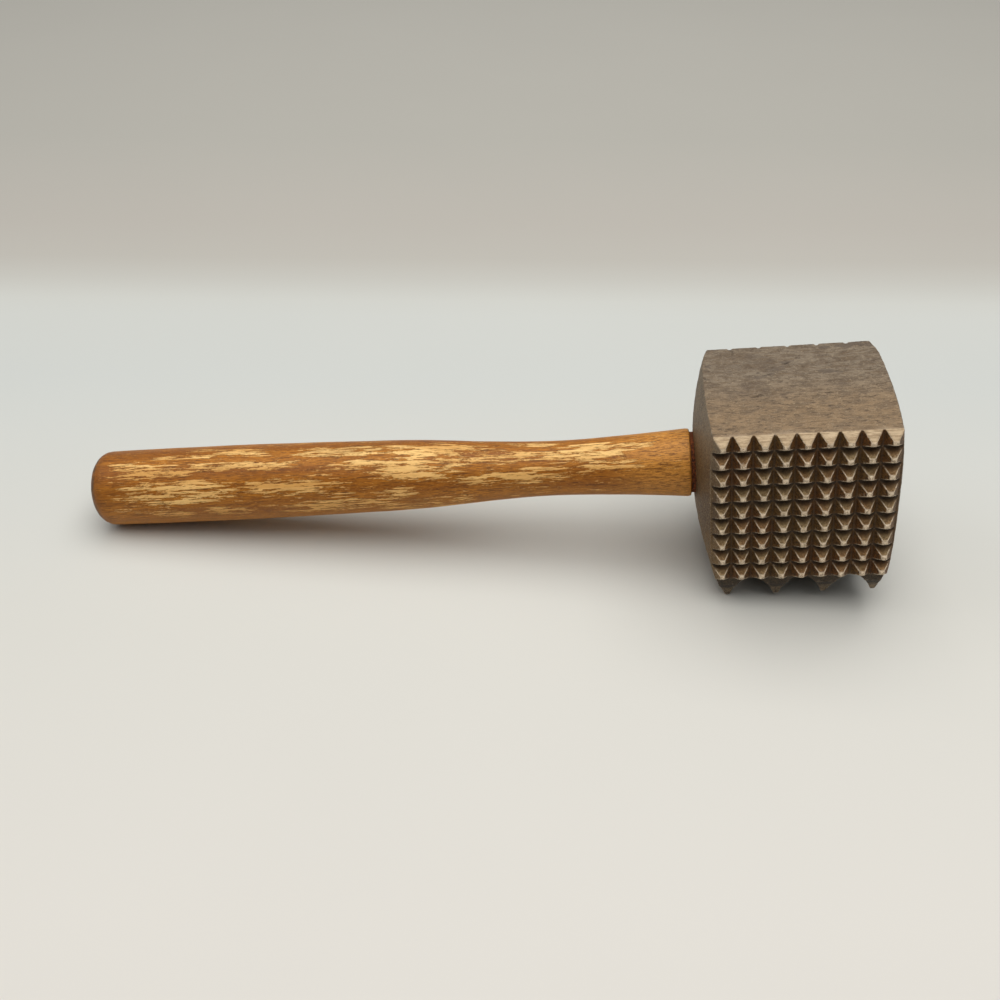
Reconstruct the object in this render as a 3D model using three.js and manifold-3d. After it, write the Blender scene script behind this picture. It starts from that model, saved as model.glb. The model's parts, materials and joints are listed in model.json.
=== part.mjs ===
// Meat tenderizer: a cast head with three toothed faces and one smooth face, on a turned wooden
// handle whose tenon is wedged in the head's eye. Millimetres, +Z up. The pieces are drawn about
// the handle's axis, X, with the head's middle at zero. The whole then leans as it lies on a table:
// the handle's butt and the nearest row of coarse teeth touch the table at z = 0.

import * as THREE from 'three';
import { mergeVertices } from 'three/addons/utils/BufferGeometryUtils.js';
import Module from 'manifold-3d';

const wasm = await Module();
wasm.setup();

// Fine teeth, on the front face (towards -Y)
const FINE_PITCH = 6.35;
const FINE_COUNT = 9;
const FINE_DEPTH = 4.1;
const FINE_TIP = 1.0;
const FINE_VALLEY = 0.35;

// Medium teeth, on the back face (towards +Y)
const MEDIUM_PITCH = 9.525;
const MEDIUM_COUNT = 6;
const MEDIUM_ROW_DEPTH = 6.3;
const MEDIUM_COLUMN_DEPTH = 6.9;
const MEDIUM_TIP = 1.2;
const MEDIUM_VALLEY = 0.5;

// Coarse teeth, on the lower face (towards -Z), with hollow flanks
const COARSE_PITCH = 15.875;
const COARSE_COUNT = 4;
const COARSE_DEPTH = 9.8;
const COARSE_TIP = 1.6;
const COARSE_COVE_FLAT = 9.4;
const COARSE_OFFSET = 0.6;
const COVE_STEPS = 7;

// How far each coarse tip is worn down: a line for each row, from the handle to the far end, and
// in it from front to back. A worn tip also slopes up towards the outside of the face.
const COARSE_WEAR = [
  [0, 0.2, 0.2, 0],
  [0.15, 0.3, 0.25, 0.2],
  [0.2, 0.3, 0.3, 0.2],
  [0.7, 0.35, 0.25, 0],
];
const WORN_TIP_SLOPE = 4;

// Head block: distances from the handle's axis, or from the head's middle along the axis
const FRONT_TIPS = 31.4;
const BACK_TIPS = 31.4;
const TOP_FACE = 28.3;
const LOWER_VALLEYS = 28.6;
const SIDE_EDGE_REACH = 27.7;
const TOP_EDGE_REACH = 29.0;
const CROWN_REACH = 33.0;
const CROWN_POWER_ACROSS = 2;
const CROWN_POWER_UP = 3.2;
const END_LEAN_START = 25.0;
const END_LEAN_ANGLE = 12;
const BACK_CORNER_START = 16;
const BACK_CORNER_EASE = 4;
const END_ROWS = 26;
const END_COLUMNS = 18;

// Eye through the head, a little wider at the far end, where the wedges spread the tenon
const EYE_NEAR_RADIUS = 10.5;
const EYE_FAR_RADIUS = 11.2;
const FIT_GAP = 0.3;

// Handle, measured along its axis from the butt
const HANDLE_LENGTH = 208.6;
const GRIP_CREST_AT = 31;
const GRIP_CREST_RADIUS = 13.35;
const GRIP_END_AT = 99.6;
const GRIP_END_RADIUS = 12.45;
const WAIST_AT = 165;
const WAIST_RADIUS = 9.4;
const COLLAR_RADIUS = 11.5;
const COLLAR_FLARE = 1.6;
const COLLAR_CHAMFER = 0.8;
const BUTT_ROUNDING = 4.8;
const BUTT_RINGS = 6;
const SHOULDER_GAP = 1.3;
const TENON_SETBACK = 0.5;
const TURNED_SIDES = 40;
const GRIP_RINGS = 8;
const TAPER_RINGS = 9;
const FLARE_RINGS = 7;

// Wedges in the tenon's far end
const KERF_WIDTH = 1.6;
const KERF_DEPTH = 46;
const WOOD_WEDGE_DEPTH = 38;
const WOOD_WEDGE_HEAD = 3.8;
const WOOD_WEDGE_POINT = 1.0;
const STEEL_WEDGE_DEPTH = 20;
const STEEL_WEDGE_WIDTH = 13;
const STEEL_WEDGE_HEAD = 2.4;
const STEEL_WEDGE_POINT = 0.6;

// How far a cutting shape runs past the surface that it opens, and the length of one that runs
// right through
const OVERCUT = 2;
const THROUGH = 160;

// Points closer than this are one point
const MERGE_DISTANCE = 1e-4;

const X = new THREE.Vector3(1, 0, 0);
const Y = new THREE.Vector3(0, 1, 0);
const Z = new THREE.Vector3(0, 0, 1);

const frontValleys = FRONT_TIPS - FINE_DEPTH;
const backValleys = BACK_TIPS - MEDIUM_ROW_DEPTH;
const lowestTips = LOWER_VALLEYS + COARSE_DEPTH;
const shoulderX = -(CROWN_REACH + SHOULDER_GAP);
const buttX = shoulderX - HANDLE_LENGTH;
const tenonEndX = CROWN_REACH - TENON_SETBACK;

// Solids for joining and cutting

function toSolid(geometry) {
  const bare = geometry.index ? geometry.clone() : mergeVertices(geometry);
  bare.deleteAttribute('normal');
  bare.deleteAttribute('uv');
  const merged = mergeVertices(bare, MERGE_DISTANCE);
  return new wasm.Manifold(new wasm.Mesh({
    numProp: 3,
    vertProperties: Float32Array.from(merged.attributes.position.array),
    triVerts: Uint32Array.from(merged.index.array),
  }));
}

function toGeometry(solid) {
  const mesh = solid.getMesh();
  const geometry = new THREE.BufferGeometry();
  geometry.setAttribute('position', new THREE.BufferAttribute(mesh.vertProperties, 3));
  geometry.setIndex(new THREE.BufferAttribute(mesh.triVerts, 1));
  geometry.computeVertexNormals();
  return geometry;
}

function extrude(shape, length) {
  const geometry = new THREE.ExtrudeGeometry(shape, {
    depth: length,
    bevelEnabled: false,
    curveSegments: COVE_STEPS,
  });
  geometry.translate(0, 0, -length / 2);
  return geometry;
}

// A lathe turned about X from [x, radius] pairs that start and end on the axis
function turned(profile) {
  const points = profile.map(([x, radius]) => new THREE.Vector2(radius, x));
  return new THREE.LatheGeometry(points, TURNED_SIDES).rotateZ(-Math.PI / 2);
}

// Grooves: the section of one groove, with 0 at the tips' plane and its floor at -depth

function veeSection(pitch, depth, tip, valley) {
  const slope = ((pitch - tip) / 2 - valley / 2) / depth;
  const mouth = (pitch - tip) / 2 + slope * OVERCUT;
  return new THREE.Shape([
    new THREE.Vector2(-mouth, OVERCUT),
    new THREE.Vector2(-valley / 2, -depth),
    new THREE.Vector2(valley / 2, -depth),
    new THREE.Vector2(mouth, OVERCUT),
  ]);
}

function coveSection(pitch, depth, tip, flat) {
  const mouth = (pitch - tip) / 2;
  const bend = flat / 2;
  const slope = (mouth - bend) / depth;
  const shape = new THREE.Shape();
  shape.moveTo(-mouth - slope * OVERCUT, OVERCUT);
  shape.lineTo(-mouth, 0);
  shape.quadraticCurveTo(-bend, -depth, 0, -depth);
  shape.quadraticCurveTo(bend, -depth, mouth, 0);
  shape.lineTo(mouth + slope * OVERCUT, OVERCUT);
  shape.closePath();
  return shape;
}

// Cuts count + 1 parallel grooves, so that count ridges stand between them
function cutGrooves(body, section, { outward, across, tips, pitch, count, shift = 0 }) {
  const along = new THREE.Vector3().crossVectors(across, outward);
  for (let i = 0; i <= count; i += 1) {
    const offset = (i - count / 2) * pitch + shift;
    const place = new THREE.Matrix4().makeBasis(across, outward, along);
    place.setPosition(
      across.clone().multiplyScalar(offset).addScaledVector(outward, tips),
    );
    body = body.subtract(toSolid(extrude(section, THROUGH).applyMatrix4(place)));
  }
  return body;
}

// Head

// How far each domed end reaches from the middle, at a place on the end face
function endReach(y, z) {
  const across = Math.abs(y < 0 ? y / FRONT_TIPS : y / BACK_TIPS) ** CROWN_POWER_ACROSS;
  const up = Math.abs(z / TOP_FACE) ** CROWN_POWER_UP;
  const crownLoss = (CROWN_REACH - TOP_EDGE_REACH) * up;
  const crown = Math.max(CROWN_REACH - crownLoss, SIDE_EDGE_REACH);
  const lean = Math.max(0, -z - END_LEAN_START) * Math.tan(THREE.MathUtils.degToRad(END_LEAN_ANGLE));
  const corner = Math.max(0, (y - BACK_CORNER_START) / (BACK_TIPS - BACK_CORNER_START));
  return SIDE_EDGE_REACH + (crown - SIDE_EDGE_REACH) * (1 - across)
    - lean - BACK_CORNER_EASE * corner * corner;
}

// The casting before its teeth: a block whose two ends swell into shallow domes
function headBlank() {
  const depth = FRONT_TIPS + BACK_TIPS;
  const height = TOP_FACE + lowestTips;
  const block = new THREE.BoxGeometry(2, depth, height, 1, END_COLUMNS, END_ROWS);
  block.translate(0, (BACK_TIPS - FRONT_TIPS) / 2, (TOP_FACE - lowestTips) / 2);
  const position = block.attributes.position;
  for (let i = 0; i < position.count; i += 1) {
    const reach = endReach(position.getY(i), position.getZ(i));
    position.setX(i, Math.sign(position.getX(i)) * reach);
  }
  return toSolid(block);
}

// Below the fine and medium teeth the block steps back to their valleys
function trimBelow(body, outward, valleys) {
  const trim = new THREE.BoxGeometry(THROUGH, THROUGH, THROUGH);
  trim.translate(0, outward * (valleys + THROUGH / 2), -LOWER_VALLEYS - THROUGH / 2);
  return body.subtract(toSolid(trim));
}

// Takes the wear off the coarse tips
function wearTips(body) {
  const slope = THREE.MathUtils.degToRad(WORN_TIP_SLOPE);
  const middle = (COARSE_COUNT - 1) / 2;
  COARSE_WEAR.forEach((row, i) => row.forEach((wear, j) => {
    const cut = new THREE.BoxGeometry(COARSE_PITCH, COARSE_PITCH, COARSE_PITCH);
    cut.translate(0, 0, -COARSE_PITCH / 2);
    cut.rotateX(slope * Math.sign(j - middle));
    cut.rotateY(-slope * Math.sign(i - middle));
    cut.translate(
      COARSE_OFFSET + (i - middle) * COARSE_PITCH,
      (j - middle) * COARSE_PITCH,
      wear - lowestTips,
    );
    body = body.subtract(toSolid(cut));
  }));
  return body;
}

function eyeRadius(x) {
  const share = (x + CROWN_REACH) / (2 * CROWN_REACH);
  return EYE_NEAR_RADIUS + (EYE_FAR_RADIUS - EYE_NEAR_RADIUS) * share;
}

function head() {
  const front = Y.clone().negate();
  const down = Z.clone().negate();
  let body = headBlank();
  body = trimBelow(body, -1, frontValleys);
  body = trimBelow(body, 1, backValleys);

  const fine = veeSection(FINE_PITCH, FINE_DEPTH, FINE_TIP, FINE_VALLEY);
  for (const across of [X, Z]) {
    body = cutGrooves(body, fine, {
      outward: front, across, tips: FRONT_TIPS, pitch: FINE_PITCH, count: FINE_COUNT,
    });
  }

  const mediumRow = veeSection(MEDIUM_PITCH, MEDIUM_ROW_DEPTH, MEDIUM_TIP, MEDIUM_VALLEY);
  const mediumColumn = veeSection(MEDIUM_PITCH, MEDIUM_COLUMN_DEPTH, MEDIUM_TIP, MEDIUM_VALLEY);
  for (const [across, section] of [[Z, mediumRow], [X, mediumColumn]]) {
    body = cutGrooves(body, section, {
      outward: Y, across, tips: BACK_TIPS, pitch: MEDIUM_PITCH, count: MEDIUM_COUNT,
    });
  }

  const cove = coveSection(COARSE_PITCH, COARSE_DEPTH, COARSE_TIP, COARSE_COVE_FLAT);
  for (const [across, shift] of [[X, COARSE_OFFSET], [Y, 0]]) {
    body = cutGrooves(body, cove, {
      outward: down, across, tips: lowestTips, pitch: COARSE_PITCH, count: COARSE_COUNT, shift,
    });
  }
  body = wearTips(body);

  const past = CROWN_REACH + OVERCUT;
  const eye = turned([[-past, 0], [-past, eyeRadius(-past)], [past, eyeRadius(past)], [past, 0]]);
  return body.subtract(toSolid(eye));
}

// Handle

const tenonRadius = (x) => eyeRadius(x) - FIT_GAP;

function gripRadius(s) {
  if (s <= GRIP_END_AT) {
    const share = (s - GRIP_CREST_AT) / (GRIP_END_AT - GRIP_CREST_AT);
    return GRIP_CREST_RADIUS - (GRIP_CREST_RADIUS - GRIP_END_RADIUS) * share * share;
  }
  if (s <= WAIST_AT) {
    const share = (s - GRIP_END_AT) / (WAIST_AT - GRIP_END_AT);
    return WAIST_RADIUS + (GRIP_END_RADIUS - WAIST_RADIUS) * (1 + Math.cos(Math.PI * share)) / 2;
  }
  const share = (s - WAIST_AT) / (HANDLE_LENGTH - WAIST_AT);
  return WAIST_RADIUS + (COLLAR_RADIUS - WAIST_RADIUS) * share ** COLLAR_FLARE;
}

function stations(from, to, count) {
  return Array.from({ length: count }, (_, i) => from + (to - from) * (i + 1) / count);
}

function handleProfile() {
  const profile = [[buttX, 0]];
  const flat = gripRadius(BUTT_ROUNDING) - BUTT_ROUNDING;
  for (let i = 0; i <= BUTT_RINGS; i += 1) {
    const angle = (Math.PI / 2) * (i / BUTT_RINGS);
    profile.push([
      buttX + BUTT_ROUNDING * (1 - Math.cos(angle)),
      flat + BUTT_ROUNDING * Math.sin(angle),
    ]);
  }
  const along = [
    ...stations(BUTT_ROUNDING, GRIP_END_AT, GRIP_RINGS),
    ...stations(GRIP_END_AT, WAIST_AT, TAPER_RINGS),
    ...stations(WAIST_AT, HANDLE_LENGTH - COLLAR_CHAMFER, FLARE_RINGS),
  ];
  for (const s of along) profile.push([buttX + s, gripRadius(s)]);
  profile.push([shoulderX, COLLAR_RADIUS - COLLAR_CHAMFER]);
  profile.push([shoulderX, tenonRadius(shoulderX)]);
  profile.push([tenonEndX, tenonRadius(tenonEndX)]);
  profile.push([tenonEndX, 0]);
  return profile;
}

// A wedge that points along -X from the tenon's end; it is thin across Y and wide along Z
function wedgeBlock(depth, headWidth, pointWidth, width, grow, past) {
  const slope = (headWidth - pointWidth) / (2 * depth);
  const top = headWidth / 2 + slope * past + grow;
  const point = pointWidth / 2 + grow;
  const outline = new THREE.Shape([
    new THREE.Vector2(tenonEndX + past, top),
    new THREE.Vector2(tenonEndX - depth - grow, point),
    new THREE.Vector2(tenonEndX - depth - grow, -point),
    new THREE.Vector2(tenonEndX + past, -top),
  ]);
  return extrude(outline, width + 2 * grow);
}

const woodWedgeBlock = (grow, past) => wedgeBlock(
  WOOD_WEDGE_DEPTH, WOOD_WEDGE_HEAD, WOOD_WEDGE_POINT, THROUGH, grow, past,
);

const steelWedgeBlock = (grow, past) => wedgeBlock(
  STEEL_WEDGE_DEPTH, STEEL_WEDGE_HEAD, STEEL_WEDGE_POINT, STEEL_WEDGE_WIDTH, grow, past,
).rotateX(Math.PI / 2);

function handle() {
  const kerf = new THREE.BoxGeometry(KERF_DEPTH, KERF_WIDTH, THROUGH);
  kerf.translate(tenonEndX - KERF_DEPTH / 2, 0, 0);
  return toSolid(turned(handleProfile()))
    .subtract(toSolid(kerf))
    .subtract(toSolid(woodWedgeBlock(FIT_GAP, OVERCUT)))
    .subtract(toSolid(steelWedgeBlock(FIT_GAP, OVERCUT)));
}

function woodWedge() {
  const tenon = turned([
    [shoulderX, 0],
    [shoulderX, tenonRadius(shoulderX)],
    [tenonEndX, tenonRadius(tenonEndX)],
    [tenonEndX, 0],
  ]);
  return toSolid(woodWedgeBlock(0, 0))
    .intersect(toSolid(tenon))
    .subtract(toSolid(steelWedgeBlock(FIT_GAP, OVERCUT)));
}

const steelWedge = () => toSolid(steelWedgeBlock(0, 0));

// How the whole lies: the table's line passes under the rounded butt and the head's lowest corner

function restLean(headMesh) {
  const buttCentre = new THREE.Vector2(
    buttX + BUTT_ROUNDING,
    -(gripRadius(BUTT_ROUNDING) - BUTT_ROUNDING),
  );
  const corners = headMesh.geometry.attributes.position;
  const leans = Array.from({ length: corners.count }, (_, i) => {
    const reach = new THREE.Vector2(corners.getX(i), corners.getZ(i)).sub(buttCentre);
    return Math.atan2(reach.y, reach.x) + Math.asin(BUTT_ROUNDING / reach.length());
  });
  return Math.min(...leans);
}

const castMetal = new THREE.MeshStandardMaterial({ color: 0x8a7761, roughness: 0.55, metalness: 0.8 });
const turnedWood = new THREE.MeshStandardMaterial({ color: 0xb07a3c, roughness: 0.45, metalness: 0 });
const wedgeWood = new THREE.MeshStandardMaterial({ color: 0xd9b07a, roughness: 0.8, metalness: 0 });
const wedgeSteel = new THREE.MeshStandardMaterial({ color: 0x6b645c, roughness: 0.5, metalness: 0.9 });

function part(name, solid, material) {
  const mesh = new THREE.Mesh(toGeometry(solid), material);
  mesh.name = name;
  return mesh;
}

const leaning = new THREE.Group();
const headMesh = part('head', head(), castMetal);
leaning.add(headMesh);
leaning.add(part('handle', handle(), turnedWood));
leaning.add(part('wood_wedge', woodWedge(), wedgeWood));
leaning.add(part('steel_wedge', steelWedge(), wedgeSteel));
leaning.rotation.y = restLean(headMesh);

// The origin is under the middle of the whole, on the table
leaning.updateMatrixWorld(true);
const bounds = new THREE.Box3().setFromObject(leaning, true);
const middle = bounds.getCenter(new THREE.Vector3());
leaning.position.set(-middle.x, -middle.y, -bounds.min.z);

const mallet = new THREE.Group();
mallet.add(leaning);

export default mallet;
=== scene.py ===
"""Looks of a meat tenderizer: a patinated cast head with toothed faces on a varnished, flaking
wooden handle, lying on a pale table.

Lengths named *_MM are millimetres in the head frame: X along the handle's axis from butt to head,
Y from the fine teeth to the medium teeth, zero at the head's middle. So are the sizes and places
in the materials of the mallet. Everything else is in metres.
"""

import json
import math
from collections import namedtuple
from types import SimpleNamespace

import bpy
import bmesh
import numpy as np
from mathutils import Matrix, Vector
from mathutils.kdtree import KDTree


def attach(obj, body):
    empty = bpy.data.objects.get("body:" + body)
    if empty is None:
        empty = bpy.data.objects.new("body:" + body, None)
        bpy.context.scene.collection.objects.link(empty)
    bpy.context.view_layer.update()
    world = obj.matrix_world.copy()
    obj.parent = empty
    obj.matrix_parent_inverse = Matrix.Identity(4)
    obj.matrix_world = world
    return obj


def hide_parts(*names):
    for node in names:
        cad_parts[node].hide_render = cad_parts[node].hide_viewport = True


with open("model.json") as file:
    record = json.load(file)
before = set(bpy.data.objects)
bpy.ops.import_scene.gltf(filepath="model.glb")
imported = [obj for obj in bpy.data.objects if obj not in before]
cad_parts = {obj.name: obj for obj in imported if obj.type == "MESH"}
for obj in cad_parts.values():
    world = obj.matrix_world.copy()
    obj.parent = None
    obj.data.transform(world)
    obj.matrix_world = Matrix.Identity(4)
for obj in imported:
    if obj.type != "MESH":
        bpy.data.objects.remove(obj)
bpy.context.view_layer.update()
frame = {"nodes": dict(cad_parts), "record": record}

# The head frame, from the smooth face's place and normal
TOP_FACE_MM = 28.3
MM = 0.001
smooth_face = next(m for m in frame["record"]["mounts"] if m["name"] == "smooth_face")
face_normal = Vector(smooth_face["axis"]).normalized()
LEAN = math.atan2(-face_normal.x, face_normal.z)
HEAD_MIDDLE = Vector(smooth_face["pos_m"]) - face_normal * TOP_FACE_MM * MM
HEAD_FRAME = (
    Matrix.Translation(HEAD_MIDDLE) @ Matrix.Rotation(-LEAN, 4, "Y") @ Matrix.Scale(MM, 4)
)

# Teeth, as the solids have them
FINE_PITCH_MM = 6.35
FINE_DEPTH_MM = 4.1
FINE_SHIFT = 0.5
MEDIUM_PITCH_MM = 9.525
MEDIUM_DEPTH_MM = 6.3
MEDIUM_SHIFT = 0.0
COARSE_PITCH_MM = 15.875
COARSE_DEPTH_MM = 9.8
COARSE_OFFSET_MM = 0.6
TIPS_MM = 31.4
FINE_VALLEYS_MM = TIPS_MM - FINE_DEPTH_MM
VALLEYS_BELOW_MM = 28.6
LOWEST_TIPS_MM = 38.4


def rgb(red, green, blue):
    """A linear colour from 0-255 screen values."""
    def linear(value):
        value /= 255
        return value / 12.92 if value <= 0.04045 else ((value + 0.055) / 1.055) ** 2.4
    return (linear(red), linear(green), linear(blue), 1.0)


# Mesh helpers

def read_vectors(mesh, name):
    flat = np.empty(len(mesh.vertices) * 3)
    mesh.vertices.foreach_get(name, flat)
    return flat.reshape(-1, 3)


def points_of(mesh):
    return read_vectors(mesh, "co")


def normals_of(mesh):
    return read_vectors(mesh, "normal")


def set_points(mesh, points):
    mesh.vertices.foreach_set("co", points.reshape(-1))
    mesh.update()


def edges_of(mesh):
    flat = np.empty(len(mesh.edges) * 2, dtype=np.int64)
    mesh.edges.foreach_get("vertices", flat)
    return flat[0::2], flat[1::2]


def add_attribute(mesh, name, values):
    layer = mesh.attributes.new(name, "FLOAT", "POINT")
    layer.data.foreach_set("value", values.astype(np.float32))


def add_places(mesh, name, places):
    layer = mesh.attributes.new(name, "FLOAT_VECTOR", "POINT")
    layer.data.foreach_set("vector", places.astype(np.float32).reshape(-1))


def solid_copy(node):
    """A copy of a CAD node's mesh, in the head frame."""
    mesh = frame["nodes"][node].data.copy()
    mesh.transform(HEAD_FRAME.inverted())
    return mesh


def solid_points(node):
    mesh = solid_copy(node)
    points = points_of(mesh)
    bpy.data.meshes.remove(mesh)
    return points


def neighbours(points, edges):
    """Mean place of the points joined to each point by an edge."""
    first, second = edges
    total = np.zeros_like(points)
    count = np.zeros(len(points))
    for a, b in ((first, second), (second, first)):
        np.add.at(total, a, points[b])
        np.add.at(count, a, 1)
    return total / count[:, None]


def convexity(mesh):
    """How far each point stands proud of its neighbours, as a share of their distance."""
    points = points_of(mesh)
    edges = edges_of(mesh)
    length = np.linalg.norm(points[edges[0]] - points[edges[1]], axis=1)
    gap = points - neighbours(points, edges)
    return np.einsum("ij,ij->i", gap, normals_of(mesh)) / length.mean()


WAVES_PER_OCTAVE = 6
OCTAVE_WEIGHT = 0.55
OCTAVE_SIZE = 0.47
WAVES_RANGE = 4.5


def waves(points, scale, seed, octaves=3):
    """Smooth noise of about -1 to 1 on an array of points; scale is the size of its lumps."""
    rng = np.random.default_rng(seed)
    total = np.zeros(len(points))
    weight = 1.0
    for _ in range(octaves):
        for _ in range(WAVES_PER_OCTAVE):
            way = rng.normal(size=3)
            way *= 2 * math.pi / scale / np.linalg.norm(way)
            total += weight * np.sin(points @ way + rng.uniform(0, 2 * math.pi))
        weight *= OCTAVE_WEIGHT
        scale *= OCTAVE_SIZE
    return total / WAVES_RANGE


def new_object(name, data):
    thing = bpy.data.objects.new(name, data)
    bpy.context.collection.objects.link(thing)
    return thing


def new_piece(name, mesh, node):
    """A shown piece on the one body, in place of a CAD node."""
    piece = new_object(name, mesh)
    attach(piece, "root")
    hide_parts(node)
    return piece


def apply_modifiers(piece):
    """Turns a piece's modifiers into its mesh."""
    graph = bpy.context.evaluated_depsgraph_get()
    mesh = bpy.data.meshes.new_from_object(piece.evaluated_get(graph))
    old = piece.data
    piece.modifiers.clear()
    piece.data = mesh
    mesh.name = piece.name
    bpy.data.meshes.remove(old)


# Node trees and materials

class Tree:
    """Short calls for a node tree."""

    def __init__(self, tree):
        self.tree = tree

    def add(self, kind, inputs=None, **settings):
        node = self.tree.nodes.new(kind)
        for key, value in settings.items():
            setattr(node, key, value)
        for key, value in (inputs or {}).items():
            if isinstance(value, bpy.types.NodeSocket):
                self.tree.links.new(value, node.inputs[key])
            else:
                node.inputs[key].default_value = value
        return node

    def math(self, operation, a, b=0.0, c=None, clamp=False):
        inputs = {0: a, 1: b}
        if c is not None:
            inputs[2] = c
        return self.add("ShaderNodeMath", inputs, operation=operation, use_clamp=clamp).outputs[0]

    def times(self, a, b):
        return self.math("MULTIPLY", a, b)

    def times_plus(self, a, b, c):
        return self.math("MULTIPLY_ADD", a, b, c)

    def minus(self, a, b):
        return self.math("SUBTRACT", a, b)

    def split(self, vector):
        return self.add("ShaderNodeSeparateXYZ", {0: vector}).outputs

    def line(self, value, low=0.0, high=1.0, to_low=0.0, to_high=1.0, shape="LINEAR"):
        """Goes straight from to_low to to_high as value goes from low to high."""
        inputs = {0: value, 1: low, 2: high, 3: to_low, 4: to_high}
        return self.add("ShaderNodeMapRange", inputs, interpolation_type=shape).outputs[0]

    def step(self, value, low, high, to_low=0.0, to_high=1.0):
        """Goes smoothly from to_low to to_high as value goes from low to high."""
        return self.line(value, low, high, to_low, to_high, "SMOOTHSTEP")

    def mix(self, share, a, b, blend="MIX"):
        inputs = {0: share, 6: a, 7: b}
        return self.add("ShaderNodeMix", inputs, data_type="RGBA", blend_type=blend).outputs[2]

    def over(self, color, tone, mask, strength=1.0):
        """Lays a tone over a colour, where the mask is 1."""
        if strength != 1.0:
            mask = self.times(mask, strength)
        return self.mix(mask, color, tone)


class Surface(Tree):
    """A material's node tree."""

    def __init__(self, name):
        self.material = bpy.data.materials.new(name)
        self.material.use_nodes = True
        super().__init__(self.material.node_tree)
        self.tree.nodes.clear()
        self.object_place = self.add("ShaderNodeTexCoord").outputs["Object"]

    def finish(self, color, roughness, **sockets):
        inputs = {"Base Color": color, "Roughness": roughness, **sockets}
        shader = self.add("ShaderNodeBsdfPrincipled", inputs)
        self.add("ShaderNodeOutputMaterial", {"Surface": shader.outputs[0]})
        return self.material


class MalletSurface(Surface):
    """A material whose places and sizes are millimetres in the head frame."""

    def __init__(self, name):
        super().__init__(name)
        inputs = {
            "Vector": self.object_place, "Location": HEAD_MIDDLE, "Rotation": (0, -LEAN, 0),
            "Scale": (MM, MM, MM),
        }
        self.place = self.add("ShaderNodeMapping", inputs, vector_type="TEXTURE").outputs[0]
        self.x, self.y, self.z = self.split(self.place)

    def noise(self, lump, detail, rough, along=None, twist=0.0):
        """Noise of about 0 to 1, with lumps of that many millimetres. Where along is given, they
        are drawn out along the handle to 1 / along of their width."""
        place = self.place
        if along is not None:
            inputs = {"Vector": place, "Scale": (along, 1, 1)}
            place = self.add("ShaderNodeMapping", inputs).outputs[0]
        inputs = {
            "Vector": place, "Scale": 1 / lump, "Detail": detail, "Roughness": rough,
            "Distortion": twist,
        }
        return self.add("ShaderNodeTexNoise", inputs).outputs["Fac"]

    def centred(self, noise):
        return self.minus(noise, 0.5)

    def value(self, name):
        return self.add("ShaderNodeAttribute", attribute_name=name).outputs["Fac"]

    def bump(self, height, distance_mm, strength, over=None):
        inputs = {"Height": height, "Distance": distance_mm * MM, "Strength": strength}
        if over is not None:
            inputs["Normal"] = over
        return self.add("ShaderNodeBump", inputs).outputs[0]


# Cast metal

# Colours of one tooth: the flank that looks up near its tip and farther down, darker there as
# painted shade from the tooth above; the dark and the light colour of the flanks beside it; the
# flank that looks down, dark as painted shade; the valleys, dark with greasy dirt and painted
# shade; and the ridges, bright as wear and painted highlight
ToothTones = namedtuple("ToothTones", "light middle side_dark side_light lower grease worn")

# The coarse teeth stand in the hollow beneath the head: their tones are near black, greasy dirt
# together with painted shade of that hollow
COARSE_TONES = ToothTones(
    light=rgb(82, 66, 46), middle=rgb(44, 33, 22), side_dark=rgb(36, 26, 16),
    side_light=rgb(64, 50, 34), lower=rgb(34, 25, 16), grease=rgb(12, 8, 5),
    worn=rgb(140, 120, 94),
)


def side_tones(n):
    """Tones of the fine and the medium teeth, in places rusty."""
    rusty = n.step(n.noise(14, 3, 0.5), 0.42, 0.62)
    return ToothTones(
        light=n.mix(rusty, rgb(162, 136, 94), rgb(156, 118, 72)),
        middle=n.mix(rusty, rgb(108, 83, 46), rgb(108, 74, 34)),
        side_dark=rgb(60, 38, 13),
        side_light=n.mix(rusty, rgb(122, 90, 44), rgb(124, 80, 32)),
        lower=rgb(56, 36, 12),
        grease=rgb(36, 21, 4),
        worn=rgb(252, 232, 202),
    )


def between(n, place, pitch, shift):
    """Signed place of a point between the nearest tip, 0, and the valleys, -1 and 1."""
    share = n.math("ADD", n.math("DIVIDE", place, pitch), shift)
    return n.times(n.minus(n.math("FRACT", share), 0.5), 2.0)


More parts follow.
